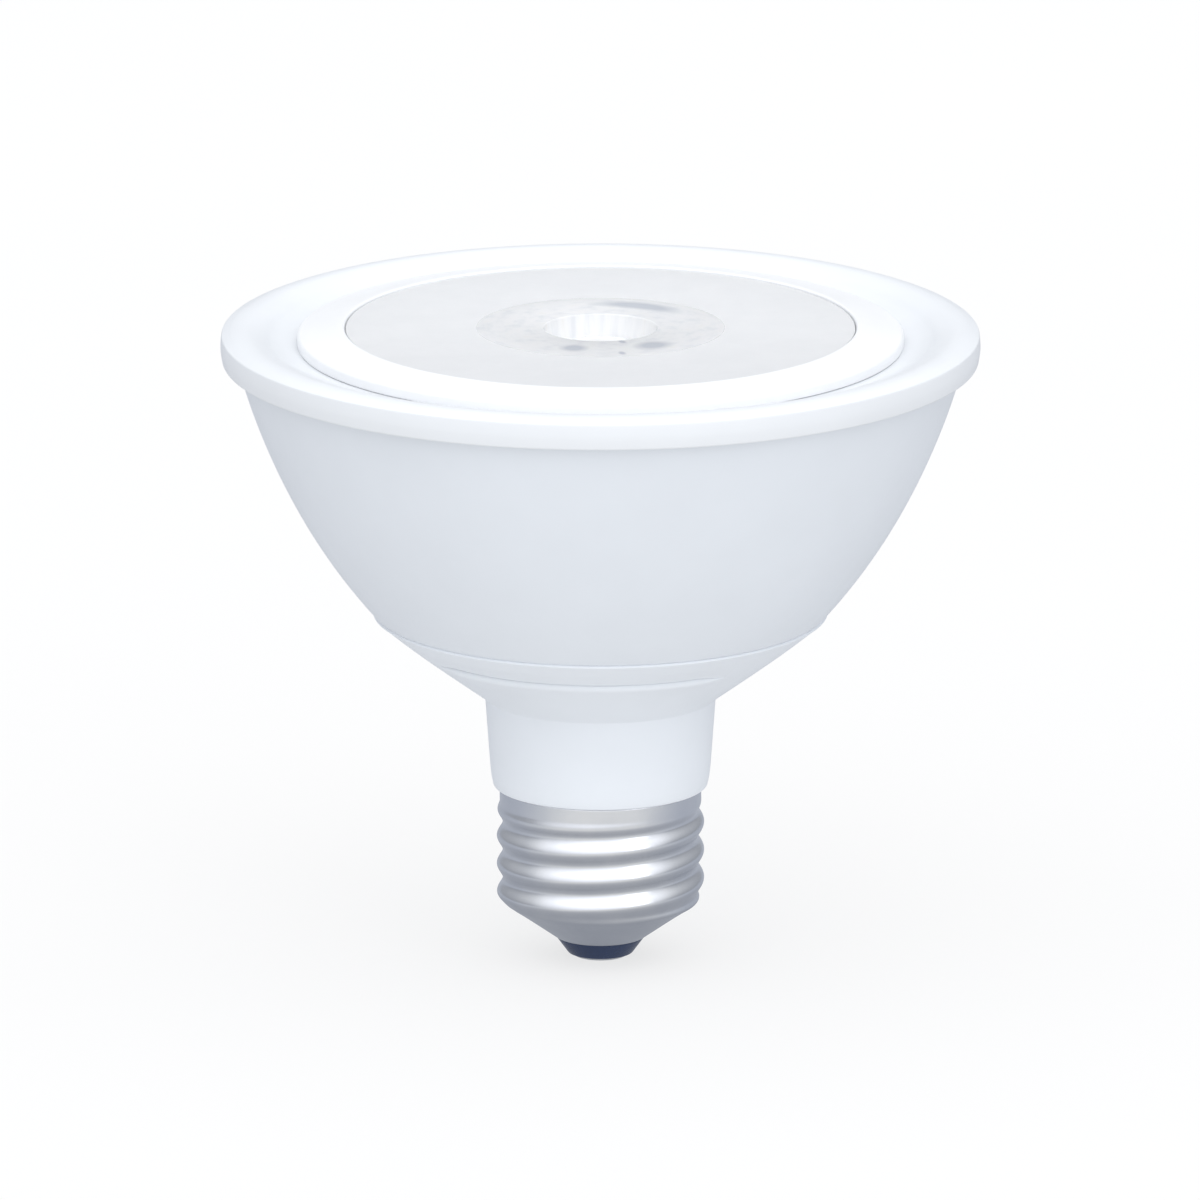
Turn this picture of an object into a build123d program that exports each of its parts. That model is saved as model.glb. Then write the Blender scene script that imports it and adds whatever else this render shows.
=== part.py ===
from build123d import *
from build123d.topology import SkipClean
import os
from math import sin, cos, acos, atan, radians, hypot

os.makedirs("parts", exist_ok=True)

# LED reflector lamp, PAR30 short neck, medium screw base.
# Millimetres, +Z from the base towards the lens, origin on the centre contact.

# ---------------------------------------------------------------- dimensions
# screw base (medium Edison, 7 threads to the inch)
thread_pitch = 3.629
thread_major_r = 13.05
thread_minor_r = 12.20
groove_half = 1.95            # half the groove's width, measured at its shoulders' tops
groove_over = 0.12            # shoulders' tops lie this far outside the crest
thread_root_z = 15.75         # height of a groove's root on the +X side
collar_r = 12.65
base_bore_r = 11.85
base_top_z = 22.40            # where the neck's shoulder sits on the base
cone_low = (5.70, 2.60)       # lower end of the base's cone, outside
cone_high = (12.35, 8.20)
base_wall = 0.35

# centre contact and its insulator
contact_r = 3.40
contact_t = 0.35
shank_r = 1.50
shank_top_z = 5.80
insulator_top_z = 5.20

# driver case: neck, driver tube and vented cone
spigot_r = 11.80
spigot_bore_r = 10.50
spigot_low_z = 9.60
tube_bore_r = 12.30
tube_r = 13.90
tube_top_z = 58.80
board_step_z = 23.40
neck_profile = [(13.64, 23.00), (13.82, 24.60), (13.94, 26.10), (14.05, 27.60),
                (14.16, 29.20), (14.28, 30.80), (14.50, 33.90)]
cone_profile = [(14.50, 33.90), (16.59, 35.38), (18.98, 37.13), (21.29, 38.86),
                (23.51, 40.56), (25.62, 42.21), (27.15, 43.50), (28.15, 44.38)]
cone_wall = 1.70
parting_z = 44.50
tongue_r = (24.70, 25.75)
tongue_top_z = 45.70

# vents through the cone
vent_floor_z = 40.40
vent_height = 0.80
vent_span = 100.0             # degrees, three of them
vent_start = -149.0           # degrees from +X of the first one's end

# outer housing
housing_profile = [(28.02, 44.62), (28.63, 45.10), (31.16, 48.15), (33.43, 51.19),
                   (35.45, 54.21), (37.27, 57.22), (38.90, 60.22), (40.37, 63.23),
                   (41.70, 66.25), (42.93, 69.27), (44.00, 72.31), (44.86, 75.10)]
housing_shoulder = [(45.18, 76.20), (45.43, 77.15)]
housing_wall = 1.75
housing_mouth_r = (43.30, 45.05)
housing_top_z = 79.20
flange_r = 25.90
flange_top_z = 46.00

# front rim
rim_r = 47.50
rim_bore_r = 45.20
rim_step_z = 79.30
rim_low_edge = [(46.98, 77.15), (47.22, 77.24), (47.32, 77.50)]
rim_band = [(47.32, 77.50), (47.46, 78.30), (47.50, 79.05), (47.47, 79.70), (47.42, 80.10)]
rim_top_edge = [(47.42, 80.10), (47.31, 80.36), (47.06, 80.52)]
rim_crown = [(47.06, 80.52), (46.30, 80.84), (45.30, 81.04), (44.20, 81.02),
             (43.10, 80.74), (42.20, 80.38)]
rim_dish = [(42.20, 80.38), (41.20, 79.80), (40.10, 79.32), (39.10, 79.05), (38.20, 78.95),
            (37.30, 78.93)]
rim_dish_low_z = 77.45

# lens ring
ring_r = 37.90
ring_edge_z = (79.15, 80.50)
ring_bore_r = 32.00
ring_top_z = 81.50
ring_skirt_r = (35.60, 36.90)
ring_skirt_low_z = 75.80
ring_seat_z = 79.00
ring_pocket_r = 33.75

# lens: plate with a central collimator
lens_face_z = 81.20
lens_flange_z = (79.40, 80.40)
lens_flange_r = 33.60
lens_plate_r = 31.85
collimator = [(15.60, 79.40), (13.10, 75.70), (9.70, 71.50), (6.70, 68.20)]
collimator_well_r = 4.80
well_top_z = 73.40
well_dome_z = 72.00
front_pocket_r = 7.10
front_pocket_floor_z = 78.20
front_pocket_dome_z = 79.60

# heat sink
platform_z = (61.30, 64.80)
ledge_z = 78.60
cup_inner = [(32.30, 78.60), (31.60, 74.80), (24.50, 66.00), (21.50, 64.80)]
cup_outer = [(35.50, 79.00), (35.50, 76.00), (33.80, 73.30), (26.50, 63.80), (22.50, 61.30)]
fin_count = 18
fin_t = 1.20
fin_gap = 0.45                # room between a fin and the housing
screw_ring_r = 18.20          # circle of the heat sink's screws
screw_angles = (-39.0, 81.0, 201.0)
boss_r = 2.70

# light source
cob_side = 16.0
pad_t = 0.30
cob_t = 1.20
phosphor_r = 4.50
phosphor_t = 0.60
holder_r = 14.80
holder_top_z = 68.00
holder_screw_x = 11.20

# driver board
board_y = (3.00, 4.60)
board_half = 11.00
tail_half = 8.60
board_z = (11.50, 56.00)
led_wire_xy = (2.50, 10.40)
cover_t = 1.20


# ------------------------------------------------------------------ helpers
def inset(points, t):
    """Points moved by t to the left of the path, square to it."""
    out = []
    for i, (r, z) in enumerate(points):
        a = points[max(i - 1, 0)]
        b = points[min(i + 1, len(points) - 1)]
        dr, dz = b[0] - a[0], b[1] - a[1]
        n = hypot(dr, dz)
        out.append((r - dz / n * t, z + dr / n * t))
    return out


def r_at(points, z):
    """Radius of a rising profile at height z."""
    for (r0, z0), (r1, z1) in zip(points, points[1:]):
        if z0 <= z <= z1:
            return r0 + (r1 - r0) * (z - z0) / (z1 - z0)
    return points[-1][0]


def polar(r, degrees):
    return (r * cos(radians(degrees)), r * sin(radians(degrees)))


board_face, board_back = board_y

# ------------------------------------------------------------- screw base
cone_len = hypot(cone_high[0] - cone_low[0], cone_high[1] - cone_low[1])
cone_dir = ((cone_high[0] - cone_low[0]) / cone_len, (cone_high[1] - cone_low[1]) / cone_len)
cone_in_low = (cone_low[0] - cone_dir[1] * base_wall, cone_low[1] + cone_dir[0] * base_wall)
cone_in_z = cone_in_low[1] + (base_bore_r - cone_in_low[0]) * cone_dir[1] / cone_dir[0]

# groove section: a round root that runs into two round shoulders
shoulder_r = thread_major_r + groove_over
thread_depth = shoulder_r - thread_minor_r
flank = 2 * atan(thread_depth / groove_half)
arc_sum = groove_half / sin(flank)
root_arc = 0.60 * arc_sum
crest_arc = arc_sum - root_arc
groove_low_z = thread_root_z - 2.5 * thread_pitch    # the groove starts on the -X side
groove_turns = 3.58
crest_splits = [35 + 60 * k for k in range(6)]       # angles at which the crest land is divided

# drawn with the groove's start on +X, then turned half round
with BuildPart() as turned_shell:
    # plain blank with the helical groove
    with BuildSketch(Plane.XY):
        Circle(thread_major_r)
    extrude(amount=base_top_z + 1.60)
    with BuildLine() as groove_path:
        Helix(thread_pitch, thread_pitch * groove_turns, thread_major_r,
              center=(0, 0, groove_low_z))
    with BuildSketch(Plane.XZ):
        with BuildLine():
            zc = groove_low_z
            crest_c = shoulder_r - crest_arc
            root_c = thread_minor_r + root_arc
            mid = (root_c - root_arc * cos(flank), root_arc * sin(flank))
            edge_r = thread_major_r + 0.05
            edge_turn = acos((edge_r - crest_c) / crest_arc)
            edge_h = groove_half - crest_arc * sin(edge_turn)
            half = (edge_turn + flank) / 2
            crest_mid = (crest_c + crest_arc * cos(half), groove_half - crest_arc * sin(half))
            Polyline((edge_r, zc - edge_h), (edge_r + 0.30, zc - edge_h),
                     (edge_r + 0.30, zc + edge_h), (edge_r, zc + edge_h))
            ThreePointArc((edge_r, zc + edge_h), (crest_mid[0], zc + crest_mid[1]),
                          (mid[0], zc + mid[1]))
            ThreePointArc((mid[0], zc + mid[1]), (thread_minor_r, zc), (mid[0], zc - mid[1]))
            ThreePointArc((mid[0], zc - mid[1]), (crest_mid[0], zc - crest_mid[1]),
                          (edge_r, zc - edge_h))
        make_face()
    sweep(path=groove_path.wire(), is_frenet=True, mode=Mode.SUBTRACT)
    # trimmed to the thin wall: cone, threaded length and collar
    with BuildSketch(Plane.XZ):
        with BuildLine():
            Polyline(cone_low, cone_high, (13.90, 10.00), (13.90, 17.40), (collar_r, 19.60),
                     (collar_r, base_top_z), (base_bore_r, base_top_z),
                     (base_bore_r, cone_in_z), cone_in_low, cone_low)
        make_face()
    revolve(axis=Axis.Z, mode=Mode.INTERSECT)

# the wall in six sectors, joined again with the crest land left as short strips of cylinder
shell_sectors = []
for start in crest_splits:
    with BuildPart() as sector:
        with BuildSketch(Plane.XY.offset(-1)):
            with BuildLine():
                arc = CenterArc((0, 0), thread_major_r + 3, start, 360 / len(crest_splits))
                Polyline(arc @ 1, (0, 0), arc @ 0)
            make_face()
        extrude(amount=base_top_z + 4)
        add(turned_shell.part, mode=Mode.INTERSECT)
    shell_sectors.append(sector.part.solid())

with BuildPart() as screw_shell:
    with SkipClean(), Locations(Location((0, 0, 0), (0, 0, 180))):
        add(shell_sectors[0].fuse(*shell_sectors[1:]), clean=False)
screw_shell.part.label = "screw_shell"
export_step(screw_shell.part, "parts/screw_shell.step")

# insulator moulded into the cone of the base
insulator_r = cone_in_low[0] + (insulator_top_z - cone_in_low[1]) * cone_dir[0] / cone_dir[1]
with BuildPart() as base_insulator:
    with BuildSketch(Plane.XZ):
        with BuildLine():
            Polyline((shank_r + 0.05, contact_t), (3.80, contact_t))
            RadiusArc((3.80, contact_t), (4.22, 0.62), -0.45)
            Polyline((4.22, 0.62), (5.56, 2.46), (cone_in_low[0] - 0.03, cone_in_low[1]),
                     (insulator_r - 0.03, insulator_top_z),
                     (shank_r + 0.05, insulator_top_z), (shank_r + 0.05, contact_t))
        make_face()
    revolve(axis=Axis.Z)
base_insulator.part.label = "base_insulator"
export_step(base_insulator.part, "parts/base_insulator.step")

# centre contact: a flat button with a hollow shank
with BuildPart() as centre_contact:
    with BuildSketch(Plane.XZ):
        with BuildLine():
            Polyline((0, 0), (contact_r - 0.30, 0))
            RadiusArc((contact_r - 0.30, 0), (contact_r, 0.24), -0.32)
            Polyline((contact_r, 0.24), (contact_r, contact_t), (shank_r, contact_t),
                     (shank_r, shank_top_z), (0.70, shank_top_z), (0.70, 2.50), (0, 2.50), (0, 0))
        make_face()
    revolve(axis=Axis.Z)
centre_contact.part.label = "centre_contact"
export_step(centre_contact.part, "parts/centre_contact.step")

# ------------------------------------------------------------ driver case
cone_inside = inset(cone_profile, cone_wall)
tongue_foot_z = None
for (r0, z0), (r1, z1) in zip(cone_inside, cone_inside[1:]):
    if r0 <= tongue_r[0] <= r1:
        tongue_foot_z = z0 + (z1 - z0) * (tongue_r[0] - r0) / (r1 - r0)
    if r0 <= tube_r <= r1:
        tube_foot_z = z0 + (z1 - z0) * (tube_r - r0) / (r1 - r0)
cone_inside_run = ([(tongue_r[0], tongue_foot_z)]
                   + [p for p in reversed(cone_inside) if tube_r + 0.3 < p[0] < tongue_r[0] - 0.3]
                   + [(tube_r, tube_foot_z)])

with BuildPart() as driver_case:
    # three screw bosses with webs to the tube, trimmed to the inside of the cone
    with BuildSketch(Plane.XY.offset(34.0)):
        for a in screw_angles:
            with Locations(polar(screw_ring_r, a)):
                Circle(boss_r)
    extrude(amount=platform_z[0] - 34.0)
    with BuildSketch(Plane.XY.offset(34.0)):
        for a in screw_angles:
            with Locations(Location((*polar(15.2, a), 0), a)):
                Rectangle(4.0, 1.8)
    extrude(amount=tube_top_z - 34.0)
    with BuildSketch(Plane.XZ):
        with BuildLine():
            mid_cone = inset(cone_profile, 0.6)
            Polyline((0, 30.0), (mid_cone[0][0], 30.0), mid_cone[0])
            Spline(*mid_cone)
            Polyline(mid_cone[-1], (mid_cone[-1][0], 70.0), (0, 70.0), (0, 30.0))
        make_face()
    revolve(axis=Axis.Z, mode=Mode.INTERSECT)
    # neck, cone, tongue and tube in one moulding
    with BuildSketch(Plane.XZ):
        with BuildLine():
            Polyline((spigot_bore_r, spigot_low_z), (spigot_r, spigot_low_z),
                     (spigot_r, base_top_z), (13.12, base_top_z))
            Spline((13.12, base_top_z), (13.48, 22.56), neck_profile[0],
                   tangents=[(1, 0.10), (0.14, 1)])
            Spline(*neck_profile, tangents=[(0.14, 1), (0.06, 1)])
            Spline(*cone_profile)
            Polyline(cone_profile[-1], (28.10, 44.47), (28.00, parting_z), (tongue_r[1], parting_z),
                     (tongue_r[1], tongue_top_z), (tongue_r[0], tongue_top_z), cone_inside_run[0])
            Polyline(*cone_inside_run)
            Polyline(cone_inside_run[-1], (tube_r, tube_top_z), (tube_bore_r, tube_top_z),
                     (tube_bore_r, board_step_z), (spigot_bore_r, board_step_z),
                     (spigot_bore_r, spigot_low_z))
        make_face()
    revolve(axis=Axis.Z)
    # rails that hold the driver board's edges
    for sx in (-1, 1):
        with Locations((sx * 11.55, board_face - 0.60, 37.0), (sx * 10.95, board_back + 0.60, 37.0)):
            Box(2.10, 1.00, 28.0)
    # pilot holes in the bosses
    with Locations(*[(*polar(screw_ring_r, a), platform_z[0]) for a in screw_angles]):
        Hole(1.50, depth=10.0)
    # arc-shaped vents with round ends
    for k in range(3):
        start = vent_start + 120.0 * k
        with BuildSketch(Plane.XZ.rotated((0, 0, start))):
            with Locations((23.0, vent_floor_z + vent_height / 2)):
                Rectangle(8.0, vent_height)
        revolve(axis=Axis.Z, revolution_arc=vent_span, mode=Mode.SUBTRACT)
        for a in (start, start + vent_span):
            with BuildSketch(Plane(origin=(*polar(19.0, a), vent_floor_z + vent_height / 2),
                                   z_dir=(*polar(1.0, a), 0))):
                Circle(vent_height / 2)
            extrude(amount=8.0, mode=Mode.SUBTRACT)
driver_case.part.label = "driver_case"
export_step(driver_case.part, "parts/driver_case.step")

# ----------------------------------------------------------- outer housing
housing_inside = inset(housing_profile, housing_wall)
inside_run = [p for p in housing_inside if flange_top_z + 0.6 < p[1] < 74.6]
flange_edge = (r_at(housing_inside, flange_top_z), flange_top_z)
if flange_edge[0] < flange_r + 0.5:
    flange_edge = (flange_r + 1.1, flange_top_z)

with BuildPart() as outer_housing:
    with BuildSketch(Plane.XZ):
        with BuildLine():
            Polyline((flange_r, parting_z), (27.88, parting_z), housing_profile[0])
            Spline(*housing_profile, *housing_shoulder)
            Polyline(housing_shoulder[-1], (housing_mouth_r[1], housing_shoulder[-1][1]),
                     (housing_mouth_r[1], housing_top_z), (housing_mouth_r[0], housing_top_z),
                     (housing_mouth_r[0], 75.40), inside_run[-1])
            Spline(*reversed(inside_run))
            Polyline(inside_run[0], flange_edge, (flange_r, flange_top_z), (flange_r, parting_z))
        make_face()
    revolve(axis=Axis.Z)
outer_housing.part.label = "outer_housing"
export_step(outer_housing.part, "parts/outer_housing.step")

# -------------------------------------------------------------- front rim
with BuildPart() as front_rim:
    with BuildSketch(Plane.XZ):
        with BuildLine():
            ThreePointArc(*rim_low_edge)
            Spline(*rim_band)
            ThreePointArc(*rim_top_edge)
            Spline(*rim_crown)
            Spline(*rim_dish)
            Polyline(rim_dish[-1], (rim_dish[-1][0], rim_dish_low_z), (41.90, rim_dish_low_z),
                     (43.15, 78.40), (43.15, rim_step_z), (rim_bore_r, rim_step_z),
                     (rim_bore_r, rim_low_edge[0][1]), rim_low_edge[0])
        make_face()
    revolve(axis=Axis.Z)
front_rim.part.label = "front_rim"
export_step(front_rim.part, "parts/front_rim.step")

# -------------------------------------------------------------- lens ring
with BuildPart() as lens_ring:
    with BuildSketch(Plane.XZ) as ring_section:
        with BuildLine():
            Polyline((ring_bore_r, ring_top_z), (ring_r, ring_edge_z[1]), (ring_r, ring_edge_z[0]),
                     (ring_skirt_r[1], ring_edge_z[0]), (ring_skirt_r[1], ring_skirt_low_z),
                     (ring_skirt_r[0], ring_skirt_low_z), (ring_skirt_r[0], ring_seat_z),
                     (ring_pocket_r, ring_seat_z), (ring_pocket_r, lens_flange_z[1]),
                     (ring_bore_r, lens_flange_z[1]), (ring_bore_r, ring_top_z))
        make_face()
        fillet(ring_section.vertices().filter_by(
            lambda v: abs(v.X - ring_r) < 1e-4 and v.Z > 80.0), 0.45)
        fillet(ring_section.vertices().filter_by(
            lambda v: abs(v.X - ring_bore_r) < 1e-4 and v.Z > 81.0), 0.30)
    revolve(axis=Axis.Z)
lens_ring.part.label = "lens_ring"
export_step(lens_ring.part, "parts/lens_ring.step")

# ------------------------------------------------------------------- lens
with BuildPart() as lens:
    with BuildSketch(Plane.XZ):
        with BuildLine():
            Spline((0, front_pocket_dome_z), (3.6, 79.22), (6.60, front_pocket_floor_z),
                   tangents=[(1, 0), (1, -0.55)])
            Polyline((6.60, front_pocket_floor_z), (front_pocket_r, lens_face_z),
                     (lens_plate_r, lens_face_z), (lens_plate_r, lens_flange_z[1]),
                     (lens_flange_r, lens_flange_z[1]), (lens_flange_r, lens_flange_z[0]),
                     collimator[0])
            Spline(*collimator)
            Polyline(collimator[-1], (5.10, 68.20), (collimator_well_r, well_top_z))
            Spline((collimator_well_r, well_top_z), (2.6, 72.42), (0, well_dome_z),
                   tangents=[(-1, -0.5), (-1, 0)])
            Polyline((0, well_dome_z), (0, front_pocket_dome_z))
        make_face()
    revolve(axis=Axis.Z)
lens.part.label = "lens"
export_step(lens.part, "parts/lens.step")

with BuildPart() as lens_gasket:
    with BuildSketch(Plane.XZ):
        with Locations((33.10, (ledge_z + lens_flange_z[0]) / 2)):
            Rectangle(1.10, lens_flange_z[0] - ledge_z)
    revolve(axis=Axis.Z)
lens_gasket.part.label = "lens_gasket"
export_step(lens_gasket.part, "parts/lens_gasket.step")

# --------------------------------------------------------------- heat sink
fin_edge = inset(housing_profile, housing_wall + fin_gap)
fin_run = [p for p in fin_edge if flange_top_z + 1.6 < p[1] < 72.8]
with BuildPart() as fin:
    with BuildSketch(Plane.XZ):
        with BuildLine():
            Polyline((22.0, 62.2), (23.0, 60.5), (23.0, 48.0), (26.05, flange_top_z),
                     (26.80, flange_top_z), fin_run[0])
            Spline(*fin_run)
            Polyline(fin_run[-1], (38.4, 73.6), (36.4, 75.2), (35.2, 75.2), (33.2, 73.4),
                     (26.0, 64.2), (22.0, 62.2))
        make_face()
    extrude(amount=fin_t / 2, both=True)

with BuildPart() as heat_sink:
    with BuildSketch(Plane.XZ):
        with BuildLine():
            Polyline((0, platform_z[0]), cup_outer[-1], cup_outer[-2], cup_outer[-3], cup_outer[-4],
                     cup_outer[0], (33.80, 79.00), (33.80, ledge_z), cup_inner[0], cup_inner[1],
                     cup_inner[2], cup_inner[3], (0, platform_z[1]), (0, platform_z[0]))
        make_face()
    revolve(axis=Axis.Z)
    with PolarLocations(0, fin_count, start_angle=11.0):
        add(fin.part)
    with Locations(*[(*polar(screw_ring_r, a), platform_z[1]) for a in screw_angles]):
        Hole(1.65, depth=4.0)
    with Locations((holder_screw_x, 0, platform_z[1]), (-holder_screw_x, 0, platform_z[1])):
        Hole(1.25, depth=2.6)
    with Locations((led_wire_xy[0], led_wire_xy[1], platform_z[1]),
                   (-led_wire_xy[0], led_wire_xy[1], platform_z[1])):
        Hole(0.90, depth=4.0)
heat_sink.part.label = "heat_sink"
export_step(heat_sink.part, "parts/heat_sink.step")


# one cross-recess pan-head screw, head underside at z = 0
def pan_screw(head_r, head_h, shank, length):
    with BuildPart() as screw:
        with BuildSketch(Plane.XZ):
            with BuildLine():
                Polyline((0, -length), (shank * 0.35, -length), (shank, -length + shank * 1.1),
                         (shank, 0), (head_r, 0), (head_r, head_h * 0.35))
                Spline((head_r, head_h * 0.35), (head_r * 0.74, head_h * 0.88), (0, head_h),
                       tangents=[(-0.15, 1), (-1, 0)])
                Polyline((0, head_h), (0, -length))
            make_face()
        revolve(axis=Axis.Z)
        with BuildSketch(Plane.XY.offset(head_h)):
            Rectangle(head_r * 1.05, head_r * 0.24)
            Rectangle(head_r * 0.24, head_r * 1.05)
        extrude(amount=-head_h * 0.6, mode=Mode.SUBTRACT)
    return screw.part


sink_screw = pan_screw(2.60, 2.00, 1.45, 12.0)
with BuildPart() as heat_sink_screws:
    with Locations(*[(*polar(screw_ring_r, a), platform_z[1]) for a in screw_angles]):
        add(sink_screw)
heat_sink_screws.part.label = "heat_sink_screws"
export_step(heat_sink_screws.part, "parts/heat_sink_screws.step")

# ------------------------------------------------------------ light source
cob_low_z = platform_z[1] + pad_t
cob_top_z = cob_low_z + cob_t

with BuildPart() as thermal_pad:
    with BuildSketch(Plane.XY.offset(platform_z[1])):
        RectangleRounded(cob_side, cob_side, 0.6)
    extrude(amount=pad_t)
thermal_pad.part.label = "thermal_pad"
export_step(thermal_pad.part, "parts/thermal_pad.step")

with BuildPart() as cob_board:
    with BuildSketch(Plane.XY.offset(cob_low_z)):
        RectangleRounded(cob_side, cob_side, 0.5)
    extrude(amount=cob_t)
cob_board.part.label = "cob_board"
export_step(cob_board.part, "parts/cob_board.step")

with BuildPart() as cob_phosphor:
    with BuildSketch(Plane.XY.offset(cob_top_z)):
        Circle(phosphor_r)
    extrude(amount=phosphor_t)
    fillet(cob_phosphor.edges().group_by(Axis.Z)[-1], 0.25)
cob_phosphor.part.label = "cob_phosphor"
export_step(cob_phosphor.part, "parts/cob_phosphor.step")

with BuildPart() as cob_holder:
    with BuildSketch(Plane.XY.offset(platform_z[1])):
        Circle(holder_r)
    extrude(amount=holder_top_z - platform_z[1])
    fillet(cob_holder.edges().group_by(Axis.Z)[-1], 0.5)
    with BuildSketch(Plane.XY.offset(platform_z[1])):
        Rectangle(cob_side + 0.3, cob_side + 0.3)
    extrude(amount=cob_top_z - platform_z[1], mode=Mode.SUBTRACT)
    with BuildSketch(Plane.XZ):
        with BuildLine():
            Polyline((0, cob_top_z - 0.1), (5.0, cob_top_z - 0.1), (5.2, cob_top_z + 0.4),
                     (6.9, holder_top_z + 0.1), (0, holder_top_z + 0.1), (0, cob_top_z - 0.1))
        make_face()
    revolve(axis=Axis.Z, mode=Mode.SUBTRACT)
    with Locations((holder_screw_x, 0, holder_top_z), (-holder_screw_x, 0, holder_top_z)):
        Hole(1.35, depth=5.0)
    with BuildSketch(Plane.XY.offset(cob_top_z)):
        for sx in (-1, 1):
            with Locations((sx * led_wire_xy[0], 8.05)):
                Rectangle(1.50, 6.30)
    extrude(amount=4.0, mode=Mode.SUBTRACT)
    with BuildSketch(Plane.XY.offset(cob_low_z + 0.20)):
        for sx in (-1, 1):
            with Locations((sx * led_wire_xy[0], 9.62)):
                Rectangle(1.50, 3.16)
    extrude(amount=4.0, mode=Mode.SUBTRACT)
    with Locations((led_wire_xy[0], led_wire_xy[1], holder_top_z),
                   (-led_wire_xy[0], led_wire_xy[1], holder_top_z)):
        Hole(0.80, depth=5.0)
cob_holder.part.label = "cob_holder"
export_step(cob_holder.part, "parts/cob_holder.step")

clamp_screw = pan_screw(2.00, 1.50, 1.20, 5.6)
with BuildPart() as cob_holder_screws:
    with Locations((holder_screw_x, 0, holder_top_z), (-holder_screw_x, 0, holder_top_z)):
        add(clamp_screw)
cob_holder_screws.part.label = "cob_holder_screws"
export_step(cob_holder_screws.part, "parts/cob_holder_screws.step")

# ------------------------------------------------------------------ driver
with BuildPart() as driver_cover:
    with BuildSketch(Plane.XY.offset(tube_top_z)):
        Circle(tube_r)
    extrude(amount=cover_t)
    with BuildSketch(Plane.XY.offset(tube_top_z)):
        Circle(tube_bore_r - 0.10)
        Circle(tube_bore_r - 0.70, mode=Mode.SUBTRACT)
    extrude(amount=-1.80)
    fillet(driver_cover.edges().group_by(Axis.Z)[-1], 0.4)
    with Locations((led_wire_xy[0], led_wire_xy[1], tube_top_z + cover_t),
                   (-led_wire_xy[0], led_wire_xy[1], tube_top_z + cover_t)):
        Hole(0.75, depth=cover_t + 0.4)
driver_cover.part.label = "driver_cover"
export_step(driver_cover.part, "parts/driver_cover.step")

# where leads pass through the board: (x, z)
bulk_xz, bulk_r, bulk_len = (-4.60, 30.00), 4.00, 10.50
out_xz, out_r, out_len = (-4.40, 52.00), 3.15, 9.00
film_xz = (4.80, 30.00)
choke_xz = (4.30, 52.00)
fuse_z, fuse_half = 19.00, 6.20
varistor_z = 28.00
lead_r = 0.30
lead_points = [(bulk_xz[0] - 1.75, bulk_xz[1]), (bulk_xz[0] + 1.75, bulk_xz[1]),
               (out_xz[0] - 1.25, out_xz[1]), (out_xz[0] + 1.25, out_xz[1]),
               (film_xz[0], film_xz[1] - 2.5), (film_xz[0], film_xz[1] + 2.5),
               (choke_xz[0] - 1.5, choke_xz[1]), (choke_xz[0] + 1.5, choke_xz[1]),
               (-fuse_half, fuse_z), (fuse_half, fuse_z),
               (0.0, varistor_z - 2.5), (0.0, varistor_z + 2.5)]

with BuildPart() as driver_board:
    with BuildSketch(Plane.XZ.offset(-board_back)):
        with BuildLine():
            Polyline((-tail_half, board_z[0]), (tail_half, board_z[0]), (tail_half, board_step_z),
                     (board_half, board_step_z), (board_half, board_z[1]),
                     (-board_half, board_z[1]), (-board_half, board_step_z),
                     (-tail_half, board_step_z), (-tail_half, board_z[0]))
        make_face()
        with Locations(*lead_points):
            Circle(lead_r + 0.10, mode=Mode.SUBTRACT)
    extrude(amount=board_back - board_face)
driver_board.part.label = "driver_board"
export_step(driver_board.part, "parts/driver_board.step")


# leads stand out 0.9 behind the board, where they are soldered
lead_plane = Plane.XZ.offset(-(board_back + 0.90))
lead_len = board_back + 0.90 - board_face + 0.20

# can capacitors standing on the board's front face
for can_name, can_xz, can_r, can_len, can_gap in (
        ("bulk_capacitor", bulk_xz, bulk_r, bulk_len, 1.75),
        ("output_capacitor", out_xz, out_r, out_len, 1.25)):
    with BuildPart() as can:
        with BuildSketch(Plane.XZ.offset(-board_face)):
            with Locations(can_xz):
                Circle(can_r)
        extrude(amount=can_len)
        fillet(can.edges().group_by(Axis.Y)[0], 0.5)
        # rolled groove near the rubber end
        with BuildSketch(Plane(origin=(can_xz[0], board_face - 1.6, can_xz[1]), x_dir=(1, 0, 0),
                               z_dir=(0, 0, 1))):
            with Locations((can_r + 0.05, 0)):
                Circle(0.35)
        revolve(axis=Axis((can_xz[0], 0, can_xz[1]), (0, 1, 0)), mode=Mode.SUBTRACT)
        with BuildSketch(lead_plane):
            with Locations((can_xz[0] - can_gap, can_xz[1]), (can_xz[0] + can_gap, can_xz[1])):
                Circle(lead_r)
        extrude(amount=lead_len)
    can.part.label = can_name
    export_step(can.part, "parts/" + can_name + ".step")

with BuildPart() as film_capacitor:
    with BuildSketch(Plane.XZ.offset(-board_face)):
        with Locations(film_xz):
            RectangleRounded(6.8, 7.6, 0.5)
    extrude(amount=7.6)
    fillet(film_capacitor.edges().group_by(Axis.Y)[0], 0.4)
    with BuildSketch(lead_plane):
        with Locations((film_xz[0], film_xz[1] - 2.5), (film_xz[0], film_xz[1] + 2.5)):
            Circle(lead_r)
    extrude(amount=lead_len)
film_capacitor.part.label = "film_capacitor"
export_step(film_capacitor.part, "parts/film_capacitor.step")

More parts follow.
